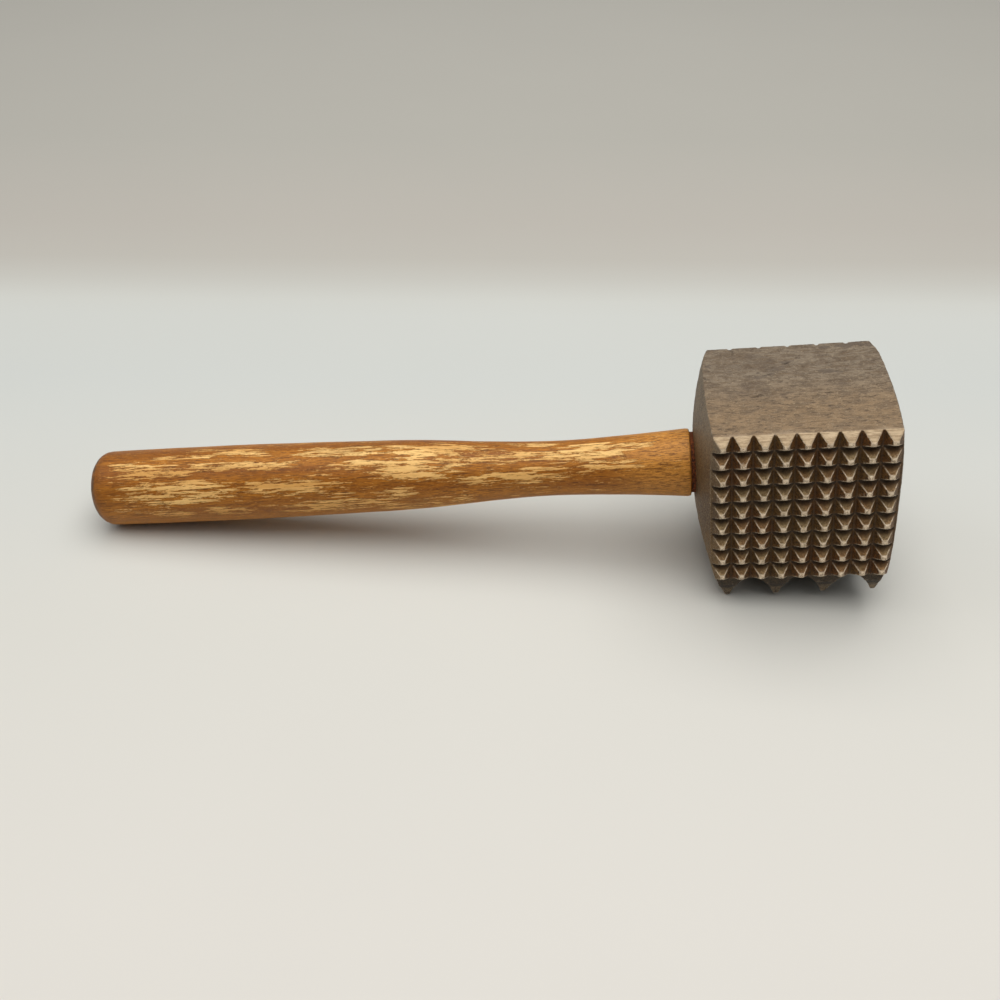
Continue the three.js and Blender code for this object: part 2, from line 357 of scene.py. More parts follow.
def toothed(n, a, b, grit, tones):
    """Colour on pyramid teeth, and where it is on the flanks beside. The flank towards +b is
    painted lighter and clean, and darker towards its valley as painted shade from the tooth above;
    the flanks beside are darker, partly grime and partly painted shade; the one towards -b is
    painted darkest, as shade; ridges and tips are painted bright, as wear and painted highlight;
    and the valleys are dark with greasy dirt and painted shade."""
    da, db = n.math("ABSOLUTE", a), n.math("ABSOLUTE", b)
    far = n.math("MAXIMUM", da, db)
    lean = n.minus(da, db)
    # Ridges and tips: painted bright, as wear and painted highlight
    ridge = n.times(n.step(n.math("ABSOLUTE", lean), 0.13, 0.04), n.step(far, 0.8, 0.5))
    tip = n.times(n.step(far, 0.36, 0.24), n.step(far, 0.02, 0.2, 0.4, 1.0))
    worn = n.math("MAXIMUM", ridge, tip)
    worn = n.times(worn, n.step(grit, 0.4, 0.55, 0.25, 1.0))
    side = n.step(lean, -0.04, 0.05)
    under = n.times(n.step(b, 0.04, -0.06), n.minus(1.0, side))
    # Lighter near the tip, darker towards the valley: painted shade from the tooth above
    color = n.mix(n.step(far, 0.35, 0.75), tones.light, tones.middle)
    color = n.over(color, tones.middle, n.step(grit, 0.43, 0.56, 0, 0.9))
    # The flanks beside: darker brown, partly grime and partly painted shade
    beside = n.mix(n.step(grit, 0.38, 0.62), tones.side_dark, tones.side_light)
    color = n.mix(side, color, beside)
    # The flank that looks down: painted shade
    color = n.over(color, tones.lower, under)
    # The valleys: greasy dirt, darkened further as painted shade
    valley_dirt_and_shade = n.times_plus(n.centred(grit), 0.6, far)
    valley_dirt_and_shade_from = n.line(side, to_low=0.62, to_high=0.84)
    depth = n.math("DIVIDE", n.minus(valley_dirt_and_shade, valley_dirt_and_shade_from), 0.26, clamp=True)
    color = n.over(color, tones.grease, depth, 0.85)
    return n.over(color, tones.worn, worn, 0.9), side


def cast_marks(n, y):
    """Noises that several parts of the casting share."""
    spots = n.step(n.noise(1.7, 5, 0.8, along=0.5), 0.6, 0.67)
    spots = n.times(spots, n.step(n.noise(9, 2, 0.5), 0.38, 0.56))
    return SimpleNamespace(
        grit=n.noise(0.8, 5, 0.75),
        highlight_speckle=n.noise(0.65, 3, 0.75),
        patches=n.noise(11, 5, 0.6, twist=0.4),
        cloud=n.noise(3.2, 7, 0.75, along=0.55),
        drawn=n.noise(0.7, 6, 0.78, along=0.14),
        spots=spots,
        pits=n.times(spots, n.step(y, -18, 0, 0.2, 1.0)),
    )


def smooth_face_color(n, y, marks):
    """Warm and nearly clean towards the fine teeth, grey and blotched towards the back."""
    color = n.mix(n.step(y, -16, 10), rgb(150, 124, 92), rgb(136, 121, 101))
    cloudy = n.times(n.step(marks.cloud, 0.44, 0.6), n.step(y, -22, 4, 0.5, 0.9))
    color = n.over(color, rgb(104, 87, 68), cloudy)
    dull = n.step(n.noise(14, 4, 0.6, along=0.7), 0.5, 0.62)
    color = n.over(color, rgb(88, 72, 57), n.times(dull, n.step(y, -12, 4, 0.1, 0.5)))
    color = n.over(color, rgb(106, 84, 58), n.step(marks.drawn, 0.48, 0.62, 0, 0.75))
    # Small light flecks: painted highlight sparkle
    color = n.over(color, rgb(184, 165, 135), n.step(marks.highlight_speckle, 0.54, 0.68, 0, 0.42))
    dots = n.step(n.noise(0.9, 5, 0.8, along=0.4), 0.54, 0.63)
    color = n.over(color, rgb(76, 59, 43), dots, 0.85)
    color = n.over(color, rgb(58, 43, 32), marks.pits, 0.85)
    smear = n.step(n.noise(9, 4, 0.55, along=0.7), 0.6, 0.63)
    color = n.over(color, rgb(98, 84, 70), n.times(smear, n.step(y, -8, 4)), 0.7)
    edge = n.times_plus(n.centred(marks.patches), 14.0, y)
    return n.over(color, rgb(190, 168, 140), n.step(edge, -26.0, -29.5, 0, 0.45))


def dome_color(n, z, marks):
    """The domed ends are darker and browner than the smooth face. Lighter and greyer towards the
    top, as painted light from above and a painted reflection of the pale surroundings; darker
    brown further down, then a lighter brown again near the bottom.
    """
    color = n.mix(n.step(z, 27, 7), rgb(128, 113, 92), rgb(93, 66, 29))
    color = n.over(color, rgb(134, 104, 58), n.step(z, -4, -24))
    color = n.over(color, rgb(70, 50, 27), n.step(marks.patches, 0.4, 0.6, 0, 0.5))
    color = n.over(color, rgb(60, 42, 23), n.step(marks.grit, 0.45, 0.65, 0, 0.6))
    # Small light flecks: painted highlight sparkle
    color = n.over(color, rgb(148, 124, 90), n.step(marks.highlight_speckle, 0.5, 0.64, 0, 0.7))
    return n.over(color, rgb(44, 31, 20), marks.spots, 0.7)


def fine_teeth_color(n, x, z, marks, tones, dome):
    """The top row's upper flanks go on from the smooth face, and the outermost ones beside the
    handle from the dome."""
    a, b = (between(n, place, FINE_PITCH_MM, FINE_SHIFT) for place in (x, z))
    color, side = toothed(n, a, b, marks.grit, tones)
    top_row = n.times(n.step(z, 25.8, 26.5), n.minus(1.0, side))
    bright = n.mix(n.step(marks.drawn, 0.42, 0.6), rgb(196, 172, 138), rgb(156, 131, 99))
    color = n.over(color, bright, top_row)
    return n.over(color, dome, n.times(n.step(x, -25.6, -26.4), side))


def coarse_teeth_color(n, x, y, z, grit):
    """Dark between the teeth, a little lighter on the outer flanks towards the fine teeth. The
    darkness is greasy dirt together with painted shade of the hollow beneath the head.
    """
    a = between(n, x, COARSE_PITCH_MM, -COARSE_OFFSET_MM / COARSE_PITCH_MM)
    b = between(n, y, COARSE_PITCH_MM, 0.0)
    color, _ = toothed(n, a, b, grit, COARSE_TONES)
    # Darker still up in the coves: painted shade of the hollow beneath the head, with greasy dirt
    color = n.over(color, COARSE_TONES.grease, n.step(z, -36.0, -30.5), 0.8)
    outer = n.mix(n.step(grit, 0.35, 0.65), rgb(42, 33, 22), rgb(82, 66, 46))
    return n.over(color, outer, n.step(y, -26.0, -27.5))


def cast_metal():
    """Aluminium alloy with a brown kitchen patina: pitted, brushed along the handle's line, bright
    along the edges and tips as wear and painted highlight, and dark in the valleys with greasy
    dirt and painted shade."""
    n = MalletSurface("cast_metal")
    rest = n.add("ShaderNodeAttribute", attribute_name="rest").outputs["Vector"]
    x, y, z = n.split(rest)
    marks = cast_marks(n, y)
    dome = dome_color(n, z, marks)
    color = n.over(smooth_face_color(n, y, marks), dome, n.value("end"))

    tones = side_tones(n)
    above_coarse = n.step(z, -VALLEYS_BELOW_MM - 0.3, -VALLEYS_BELOW_MM + 0.2)
    front = n.step(y, -FINE_VALLEYS_MM + 0.15, -FINE_VALLEYS_MM - 0.1)
    fine = fine_teeth_color(n, x, z, marks, tones, dome)
    color = n.over(color, fine, n.times(above_coarse, front))
    a, b = (between(n, place, MEDIUM_PITCH_MM, MEDIUM_SHIFT) for place in (x, z))
    medium, _ = toothed(n, a, b, marks.grit, tones)
    back = n.times(n.step(y, 24.1, 24.4), n.step(z, TOP_FACE_MM - 0.05, TOP_FACE_MM - 0.2))
    color = n.over(color, medium, n.times(above_coarse, back))
    coarse = coarse_teeth_color(n, x, y, z, marks.grit)
    color = n.over(color, coarse, n.minus(1.0, above_coarse))

    # Proud edges painted lighter: wear and painted highlight
    worn = n.times_plus(n.centred(marks.highlight_speckle), 0.4, n.value("ridge"))
    color = n.over(color, rgb(186, 165, 140), n.step(worn, 0.15, 0.45), 0.35)
    height = n.times_plus(marks.pits, -0.8, n.times(marks.drawn, 0.5))
    height = n.times_plus(marks.cloud, 0.6, height)
    normal = n.bump(marks.grit, 0.3, 0.6, over=n.bump(height, 0.5, 0.7))
    rough = n.step(marks.patches, 0.2, 0.8, 0.6, 0.48)
    return n.finish(color, rough, Metallic=0.3, Normal=normal)


# Wood and wedges

SHOULDER_NEAR_MM = -34.3
SHOULDER_FORWARD_MM = 0.5
SHOULDER_MM = SHOULDER_NEAR_MM + SHOULDER_FORWARD_MM


def wood_marks(n):
    """Noises that the varnish and the bare wood share."""
    return SimpleNamespace(
        rings=n.noise(4.5, 4, 0.55, along=0.05, twist=0.6),
        pores=n.noise(0.34, 4, 0.7, along=0.1),
        dashes=n.noise(0.55, 4, 0.7, along=0.08),
        flecks=n.noise(0.6, 3, 0.75, along=0.4),
    )


def varnish_color(n, marks):
    """Amber over the grain, paler on the collar."""
    color = n.mix(n.step(marks.rings, 0.34, 0.66), rgb(152, 88, 14), rgb(188, 119, 34))
    color = n.over(color, rgb(222, 154, 66), n.step(n.x, -66.0, -42.0, 0, 0.7))
    color = n.over(color, rgb(112, 62, 10), n.step(marks.pores, 0.46, 0.6, 0, 0.7))
    color = n.over(color, rgb(92, 50, 8), n.step(marks.dashes, 0.54, 0.62, 0, 0.75))
    return n.over(color, rgb(220, 154, 72), n.step(marks.flecks, 0.56, 0.68, 0, 0.5))


def bare_wood_color(n, marks):
    color = n.mix(n.step(marks.rings, 0.3, 0.7), rgb(222, 164, 88), rgb(255, 208, 132))
    color = n.over(color, rgb(186, 130, 62), n.step(marks.pores, 0.5, 0.75, 0, 0.4))
    return n.over(color, rgb(146, 92, 34), n.step(marks.dashes, 0.56, 0.66, 0, 0.6))


def flaked_off(n):
    """Where the varnish is gone: in long ragged flakes, most of them in the bare areas."""
    streaks = n.noise(0.8, 6, 0.72, along=0.07, twist=0.15)
    flakes = n.noise(2.4, 6, 0.72, along=0.15, twist=0.2)
    nibbles = n.noise(0.6, 4, 0.8, along=0.45)
    level = n.times_plus(n.value("bare"), 0.2, n.times(streaks, 1.15))
    level = n.times_plus(flakes, 0.65, level)
    level = n.times_plus(n.centred(nibbles), 0.28, level)
    level = n.minus(level, n.step(n.x, -234.0, -240.0, 0.0, 0.3))
    return n.step(level, 1.06, 1.069)


def butt_color(n, color):
    """Browner towards the butt, with dark scuffs round its edge."""
    color = n.over(color, rgb(122, 72, 22), n.step(n.x, -234.0, -241.5), 0.5)
    scuff = n.times(n.step(n.x, -239.8, -241.0), n.step(n.x, -244.4, -243.0, 0.5, 1.0))
    scuff = n.times(scuff, n.step(n.noise(2.2, 6, 0.75), 0.38, 0.54))
    return n.over(color, rgb(56, 38, 18), scuff, 0.75)


def varnished_wood():
    """Hardwood under amber varnish that has flaked off along the grain."""
    n = MalletSurface("varnished_wood")
    marks = wood_marks(n)
    flaked = flaked_off(n)
    color = n.mix(flaked, varnish_color(n, marks), bare_wood_color(n, marks))
    stain = n.step(n.noise(8, 5, 0.6, along=0.3), 0.54, 0.74)
    color = n.over(color, rgb(112, 66, 16), stain, 0.35)
    # Lighter towards the underside: painted light, as if thrown up from the table
    color = n.over(color, rgb(206, 146, 74), n.step(n.z, 2.0, -10.0, 0, 0.3))
    specks = n.step(n.noise(0.9, 4, 0.75, along=0.5), 0.68, 0.74)
    color = n.over(color, rgb(74, 40, 12), specks, 0.75)
    color = butt_color(n, color)

    # Beyond the shoulder: a dark reddish-brown tenon, and end grain at its end
    crumbs = n.step(n.noise(0.6, 4, 0.75), 0.42, 0.58)
    tenon = n.step(n.x, SHOULDER_MM - 0.06, SHOULDER_MM + 0.04)
    color = n.over(color, n.mix(crumbs, rgb(44, 20, 8), rgb(128, 66, 28)), tenon)
    end_grain = n.mix(marks.pores, rgb(120, 84, 48), rgb(160, 118, 72))
    color = n.over(color, end_grain, n.step(n.x, 28.0, 30.0))

    rough = n.times_plus(flaked, 0.25, n.step(marks.rings, 0.2, 0.8, 0.4, 0.48))
    rough = n.math("MAXIMUM", rough, n.times(tenon, 0.85))
    relief = n.times_plus(marks.dashes, -0.8, n.math("ADD", marks.pores, marks.flecks))
    normal = n.bump(relief, 0.16, 0.6, over=n.bump(flaked, 0.1, 0.7))
    return n.finish(color, rough, Normal=normal, **{"Specular IOR Level": 0.28})


def wedge_wood():
    """Dry end grain of a driven wedge, darkened with age."""
    n = MalletSurface("wedge_wood")
    grain = n.noise(0.8, 5, 0.6, along=0.1)
    color = n.mix(n.step(grain, 0.3, 0.7), rgb(116, 84, 50), rgb(172, 132, 84))
    color = n.over(color, rgb(72, 48, 28), n.step(n.noise(2.2, 4, 0.6), 0.5, 0.72, 0, 0.6))
    rough = n.step(grain, 0.2, 0.8, 0.75, 0.9)
    return n.finish(color, rough, Normal=n.bump(grain, 0.15, 0.5))


def wedge_steel():
    """Mushroomed steel wedge with a brown skin of old rust."""
    n = MalletSurface("wedge_steel")
    rust = n.step(n.noise(1.6, 6, 0.7), 0.38, 0.62)
    color = n.mix(rust, rgb(112, 104, 96), rgb(84, 56, 36))
    color = n.over(color, rgb(52, 40, 32), n.step(n.noise(0.5, 3, 0.7), 0.55, 0.75, 0, 0.5))
    rough = n.times_plus(rust, 0.3, 0.42)
    normal = n.bump(n.noise(0.6, 5, 0.7), 0.15, 0.5)
    return n.finish(color, rough, Metallic=n.step(rust, 0, 1, 0.9, 0.2), Normal=normal)


# Head: the casting, with softened and slightly uneven teeth

VOXEL_MM = 0.3
MERGE_MM = 0.002
HEAD_TRIANGLES = 130_000
SOFTENING_ROUNDS = 2
SOFTENING = 0.5

# Differences from tooth to tooth. The shifts grow towards the tips by a power of the height.
TOOTH_SHIFT_MM = 0.2
SHIFT_POWER = 1.5
TIP_WEAR_MM = (0.1, 0.6)
TIP_TILT = 0.16
COARSE_WEAR_MM = 0.5

# How deep under a side face the tips' wear still moves points, and how far the teeth reach from
# the head's middle to the sides and up
SKIN_MM = 1.6
TOOTHED_REACH_MM = 28.57
TOOTHED_TOP_MM = TOP_FACE_MM + 0.1

# Unevenness of the casting: heights, sizes of the lumps, and how far the skin is drawn in
BROAD_HEIGHT_MM = 0.06
BROAD_LUMP_MM = 5.0
SMALL_HEIGHT_MM = 0.04
SMALL_LUMP_MM = 1.3
DRAWN_IN_MM = 0.06

# What counts as a domed end, and how strongly a proud edge shows as wear and painted highlight
END_SLOPE = 0.62
END_FROM_MM = 26.8
RIDGE_GAIN = 2.2

# Toothed faces beside the handle: outward direction along y, pitch, shift of the grid in pitches,
# depth, and where the flanks begin at the tip and end in the valley, as shares of half a pitch
SideFace = namedtuple("SideFace", "side pitch shift depth tip valley")
SIDE_FACES = (
    SideFace(-1, FINE_PITCH_MM, FINE_SHIFT, FINE_DEPTH_MM, 0.157, 0.945),
    SideFace(1, MEDIUM_PITCH_MM, MEDIUM_SHIFT, MEDIUM_DEPTH_MM, 0.126, 0.948),
)


def hashed(i, j, seed):
    """A fixed random number of -1 to 1 for each pair of whole numbers."""
    value = np.sin(i * 127.1 + j * 311.7 + seed * 74.7) * 43758.5453
    return 2 * (value - np.floor(value)) - 1


def place_in_pitch(values, pitch, shift):
    """Number of the nearest tip, and the distance from it as a share of half a pitch."""
    share = values / pitch + shift
    number = np.floor(share)
    return number, np.abs(2 * (share - number) - 1)


def wear_teeth(points):
    """Blunts each tip of the side faces by its own amount, along its own slightly tilted plane."""
    least, most = TIP_WEAR_MM
    for seed, face in enumerate(SIDE_FACES):
        x, y, z = points.T
        i, across = place_in_pitch(x, face.pitch, face.shift)
        j, below = place_in_pitch(z, face.pitch, face.shift)
        across, below = (
            np.clip((d - face.tip) / (face.valley - face.tip), 0, 1) for d in (across, below)
        )
        old = face.depth * np.maximum(across, below)
        level = least + (most - least) * (0.5 + 0.5 * hashed(i, j, seed + 9))
        for number, place, turn in ((i, x, 21), (j, z, 25)):
            middle = (number + 0.5 - face.shift) * face.pitch
            level = level + TIP_TILT * hashed(i, j, seed + turn) * (place - middle)
        new = np.maximum(old, level)
        inside = (np.abs(x) < TOOTHED_REACH_MM) & (z > -TOOTHED_REACH_MM)
        inside &= (z < TOOTHED_TOP_MM) & (face.side * y > 0)
        under_skin = TIPS_MM - old - face.side * y
        share = np.clip(1 - np.maximum(under_skin, 0) / SKIN_MM, 0, 1)
        points[:, 1] -= face.side * np.where(inside, (new - old) * share, 0)


def unevenness(points):
    """Small shifts that differ from tooth to tooth."""
    shift = np.zeros_like(points)
    x, y, z = points.T
    for seed, face in enumerate(SIDE_FACES):
        height = np.clip(1 - (TIPS_MM - face.side * y) / face.depth, 0, 1)
        height = np.where(z > -VALLEYS_BELOW_MM, height, 0) ** SHIFT_POWER
        i = np.floor(x / face.pitch + face.shift)
        j = np.floor(z / face.pitch + face.shift)
        shift[:, 0] += TOOTH_SHIFT_MM * height * hashed(i, j, seed)
        shift[:, 2] += TOOTH_SHIFT_MM * height * hashed(i, j, seed + 5)
    height = np.clip(1 - (z + LOWEST_TIPS_MM) / COARSE_DEPTH_MM, 0, 1) ** SHIFT_POWER
    i = np.round((x - COARSE_OFFSET_MM) / COARSE_PITCH_MM - 0.5)
    j = np.round(y / COARSE_PITCH_MM - 0.5)
    shift[:, 0] += TOOTH_SHIFT_MM * height * hashed(i, j, 2)
    shift[:, 1] += TOOTH_SHIFT_MM * height * hashed(i, j, 7)
    shift[:, 2] += COARSE_WEAR_MM * height * (0.5 + 0.5 * hashed(i, j, 11)) ** 2
    return shift


def even_head():
    """The head as an even, dense mesh that lies on the solid's surface."""
    mesh = solid_copy("head")
    work = bmesh.new()
    work.from_mesh(mesh)
    bmesh.ops.remove_doubles(work, verts=work.verts, dist=MERGE_MM)
    work.to_mesh(mesh)
    work.free()
    mesh.materials.clear()
    exact = new_object("exact_head", mesh.copy())
    mesh.materials.append(cast_metal())
    head = new_piece("head_casting", mesh, "head")
    remesh = head.modifiers.new("remesh", "REMESH")
    remesh.mode = "VOXEL"
    remesh.voxel_size = VOXEL_MM
    wrap = head.modifiers.new("wrap", "SHRINKWRAP")
    wrap.wrap_method = "NEAREST_SURFACEPOINT"
    wrap.target = exact
    apply_modifiers(head)
    bpy.data.objects.remove(exact)
    return head


def weather_head(mesh):
    """Wears and softens the mesh. Gives its points, and the shifts that were added to them last,
    which the materials leave out."""
    points = points_of(mesh)
    wear_teeth(points)
    edges = edges_of(mesh)
    for _ in range(SOFTENING_ROUNDS):
        points += SOFTENING * (neighbours(points, edges) - points)
    set_points(mesh, points)
    broad = BROAD_HEIGHT_MM * waves(points, BROAD_LUMP_MM, 3)
    small = SMALL_HEIGHT_MM * waves(points, SMALL_LUMP_MM, 4)
    lumps = broad + small - DRAWN_IN_MM
    shift = unevenness(points) + normals_of(mesh) * lumps[:, None]
    set_points(mesh, points + shift)
    return points + shift, shift


def make_head():
    head = even_head()
    dense_points, shift = weather_head(head.data)
    tree = KDTree(len(dense_points))
    for index, point in enumerate(dense_points):
        tree.insert(point, index)
    tree.balance()

    thin = head.modifiers.new("thin", "DECIMATE")
    thin.ratio = min(1.0, HEAD_TRIANGLES / (2 * len(head.data.polygons)))
    apply_modifiers(head)
    mesh = head.data
    points = points_of(mesh)
    nearest = [tree.find(point)[1] for point in points]
    rest = points - shift[nearest]
    add_places(mesh, "rest", rest)
    ends = (np.abs(normals_of(mesh)[:, 0]) > END_SLOPE) & (np.abs(rest[:, 0]) > END_FROM_MM)
    add_attribute(mesh, "end", ends.astype(float))
    add_attribute(mesh, "ridge", np.clip(convexity(mesh) * RIDGE_GAIN, -1, 1))
    mesh.transform(HEAD_FRAME)
    mesh.shade_smooth()


# Handle: a finer turning than the solid's, with the same profile and the same saw kerf

HANDLE_SIDES = 96
RING_STEP_MM = 1.6
BUTT_RINGS = 7
TENON_RINGS = 12
TENON_FROM_MM = 1.0
SHARP_DEGREES = 38
ON_AXIS_MM = 1e-6

# What tells the parts of the solid's profile apart
SHOULDER_STEP_MM = 0.2
RING_GAP_MM = 0.05
BUTT_ROUNDING_MM = 5.0
GRIP_FROM_MM = 4.7
TENON_LEAST_MM = 9.0

# The collar's broken edge: places from the shoulder and from the collar's radius, and its chips
COLLAR_EDGE_MM = ((-0.4, -0.12), (-0.12, -0.35), (0.0, -0.8))
TENON_STEP_MM = 0.25
RAGGED_FROM_MM = 0.4
RAGGED_OUTSIDE_MM = 0.3
CHIP_DEPTH_MM = 0.6
CHIP_MM = 1.8

# Shallow dents along the grain
DENT_DEPTH_MM = 0.05
DENT_MM = 4.0
GRAIN_STRETCH = 0.12

# Slots for the wedges: gap round them, how far they go on past the wedges, and how near the
# wedge's thin end its corners are found
SLOT_GAP_MM = 0.3
SLOT_PAST_MM = 3.0
THIN_END_MM = 0.01

# Where the varnish is mostly gone: place along the axis, degrees round it (0 faces -Y and 90 faces
# up), half length, half width round the handle, and strength
BARE_AREAS = (
    (-223, 68, 14, 1.5, 0.9),
    (-208, 82, 14, 1.5, 0.9),
    (-217, 54, 19, 2.4, 1.0),
    (-212, 24, 27, 4.6, 1.0),
    (-168, 26, 20, 3.8, 1.1),
    (-205, -12, 22, 3.0, 0.8),
    (-186, 88, 12, 2.6, 1.0),
    (-151, 82, 17, 3.2, 1.0),
    (-146, 56, 12, 1.8, 1.0),
    (-156, -12, 22, 3.4, 0.9),
    (-120, 80, 22, 3.4, 1.1),
    (-126, 46, 17, 4.4, 1.1),
    (-133, 6, 9, 2.4, 0.9),
    (-90, 22, 25, 3.2, 1.0),
    (-62, 76, 16, 2.8, 0.9),
    (-123, -24, 19, 3.2, 0.8),
    (-85, 95, 11, 1.8, 0.9),
    (-70, 60, 18, 2.6, 1.1),
    (-58, 38, 13, 2.2, 1.0),
    (-98, 62, 16, 2.2, 1.0),
    (-188, 60, 22, 2.0, 1.1),
)

# The side away from the photo gets similar areas: how many, and the ranges of the same values
HIDDEN_AREAS = 26
HIDDEN_AREA_RANGES = ((-225, -60), (118, 318), (10, 26), (1.8, 4.4), (0.8, 1.1))

# A bare area fades out at the square root of this, in its half lengths and widths
AREA_REACH = 1.35


def solid_rings(points):
    """Radii of the solid's own rings, by their place along the axis, to a hundredth."""
    radius = np.hypot(points[:, 1], points[:, 2])
    rings = {}
    for x, r in zip(np.round(points[:, 0], 2), radius):
        rings.setdefault(x, []).append(r)
    return rings


def curve_through(xs, rs, wanted):
    """Values at wanted, on smooth cubic curves through the given ones."""
    slopes = np.gradient(rs, xs)
    k = np.clip(np.searchsorted(xs, wanted) - 1, 0, len(xs) - 2)
    h = xs[k + 1] - xs[k]
    t = (wanted - xs[k]) / h
    return (
        (2 * t**3 - 3 * t**2 + 1) * rs[k] + (t**3 - 2 * t**2 + t) * h * slopes[k]
        + (3 * t**2 - 2 * t**3) * rs[k + 1] + (t**3 - t**2) * h * slopes[k + 1]
    )


def grip_profile(rings, shoulder):
    """Places and radii from the middle of the butt to the collar."""
    outer = [(x, max(rings[x])) for x in sorted(rings) if x < shoulder - RING_GAP_MM]
    butt = outer[0][0]
    rounding = [pair for pair in outer if pair[0] < butt + BUTT_ROUNDING_MM]
    grip = [pair for pair in outer if pair[0] >= butt + GRIP_FROM_MM]
    xs = np.array([x for x, _ in grip])
    rs = np.array([r for _, r in grip])
    wanted = np.arange(xs[0] + RING_STEP_MM, xs[-1], RING_STEP_MM)
    profile = [(butt, r) for r in np.linspace(0, rounding[0][1], BUTT_RINGS)]
    profile += rounding[1:]
    profile += list(zip(wanted, curve_through(xs, rs, wanted)))
    return profile + [(xs[-1], rs[-1])]


def handle_profile():
    """Places and radii of the whole turning, its shoulder, and the tenon's radius there."""
    rings = solid_rings(solid_points("handle"))
    steps = [x for x in rings if x < 0 and max(rings[x]) - min(rings[x]) > SHOULDER_STEP_MM]
    solid_shoulder = min(steps, key=lambda x: abs(x - SHOULDER_NEAR_MM))
    profile = grip_profile(rings, solid_shoulder)
    near_radius = min(r for r in rings[solid_shoulder] if r > TENON_LEAST_MM)
    end = max(rings)
    end_radius = max(rings[end])
    shoulder = solid_shoulder + SHOULDER_FORWARD_MM
    collar = profile[-1][1]
    profile += [(shoulder + x, collar + r) for x, r in COLLAR_EDGE_MM]
    profile += [(shoulder, near_radius + TENON_STEP_MM), (shoulder, near_radius)]
    profile += [
        (x, near_radius + (end_radius - near_radius) * (x - shoulder) / (end - shoulder))
        for x in np.linspace(shoulder + TENON_FROM_MM, end, TENON_RINGS)
    ]
    return profile + [(end, 0.0)], shoulder, near_radius


def lathe(profile, sides):
    """A closed turning about X. The first and last pairs of place and radius lie on the axis."""
    work = bmesh.new()
    rings = []
    for x, radius in profile:
        if radius < ON_AXIS_MM:
            rings.append([work.verts.new((x, 0, 0))])
            continue
        rings.append([
            work.verts.new((
                x,
                radius * math.cos(2 * math.pi * k / sides),
                radius * math.sin(2 * math.pi * k / sides),
            ))
            for k in range(sides)
        ])
    for low, high in zip(rings, rings[1:]):
        for k in range(sides):
            n = (k + 1) % sides
            if len(low) == 1:
                work.faces.new((low[0], high[k], high[n]))
            elif len(high) == 1:
                work.faces.new((low[n], low[k], high[0]))
            else:
                work.faces.new((low[n], low[k], high[k], high[n]))
    return finished_mesh(work, "turning")


def finished_mesh(work, name):
    bmesh.ops.recalc_face_normals(work, faces=work.faces)
    mesh = bpy.data.meshes.new(name)
    work.to_mesh(mesh)
    work.free()
    return mesh


def cutter(name, node):
    """A wedge-shaped block a little larger than a wedge node, to open its slot in the tenon. The
    wooden wedge's slot is the saw kerf, so it goes right through the tenon."""
    points = solid_points(node)
    low, high = points.min(axis=0), points.max(axis=0)
    is_kerf = node == "wood_wedge"
    thin, wide = (1, 2) if is_kerf else (2, 1)
    at_point = points[points[:, 0] < low[0] + THIN_END_MM]
    tip = np.abs(at_point[:, thin]).max() + SLOT_GAP_MM
    head = high[thin] + SLOT_GAP_MM
    slope = (head - tip) / (high[0] - low[0])
    half = high[wide] + (SLOT_PAST_MM if is_kerf else SLOT_GAP_MM)
    ends = (
        (low[0] - SLOT_GAP_MM, tip),
        (high[0] + SLOT_PAST_MM, head + slope * SLOT_PAST_MM),
    )
    corners = []
    for x, t in ends:
        for s in (-1, 1):
            for w in (-1, 1):
                corner = [x, 0, 0]
                corner[thin] = s * t
                corner[wide] = w * half
                corners.append(corner)
    faces = [(0, 1, 3, 2), (4, 6, 7, 5), (0, 4, 5, 1), (2, 3, 7, 6), (0, 2, 6, 4), (1, 5, 7, 3)]
    work = bmesh.new()
    verts = [work.verts.new(corner) for corner in corners]
    for face in faces:
        work.faces.new([verts[k] for k in face])
    return new_object(name, finished_mesh(work, name))


def cut_slots(handle):
    tools = [cutter("wood_slot", "wood_wedge"), cutter("steel_slot", "steel_wedge")]
    for tool in tools:
        cut = handle.modifiers.new(tool.name, "BOOLEAN")
        cut.operation = "DIFFERENCE"
        cut.solver = "EXACT"
        cut.object = tool
    apply_modifiers(handle)
    for tool in tools:
        bpy.data.objects.remove(tool)


def bareness(points):
    """0 to about 1: how far the varnish has gone."""
    rng = np.random.default_rng(21)
    areas = list(BARE_AREAS)
    for _ in range(HIDDEN_AREAS):
        areas.append([rng.uniform(low, high) for low, high in HIDDEN_AREA_RANGES])
    angle = np.arctan2(points[:, 2], -points[:, 1])
    radius = np.hypot(points[:, 1], points[:, 2])
    total = np.zeros(len(points))
    for along, degrees, length, width, strength in areas:
        turn = np.angle(np.exp(1j * (angle - math.radians(degrees))))
        reach = ((points[:, 0] - along) / length) ** 2 + (turn * radius / width) ** 2
        total = np.maximum(total, strength * np.clip(AREA_REACH - reach, 0, 1))
    return total


def weather_handle(points, shoulder, tenon_radius):
    """Dents the grip along its grain and chips the collar's edge."""
    radius = np.hypot(points[:, 1], points[:, 2])
    radial = np.zeros_like(points)
    radial[:, 1:] = points[:, 1:] / np.maximum(radius, ON_AXIS_MM)[:, None]
    grip = points[:, 0] < shoulder - RING_GAP_MM
    stretch = points * np.array([GRAIN_STRETCH, 1, 1])
    dents = DENT_DEPTH_MM * waves(stretch, DENT_MM, 11) - DENT_DEPTH_MM
    points += radial * np.where(grip, dents, 0)[:, None]
    ragged = points[:, 0] > shoulder - RAGGED_FROM_MM
    ragged &= points[:, 0] < shoulder + RING_GAP_MM
    ragged &= radius > tenon_radius + RAGGED_OUTSIDE_MM
    chips = CHIP_DEPTH_MM * np.clip(np.abs(waves(points, CHIP_MM, 12, 4)), 0, 1)
    points[:, 0] -= np.where(ragged, chips, 0)


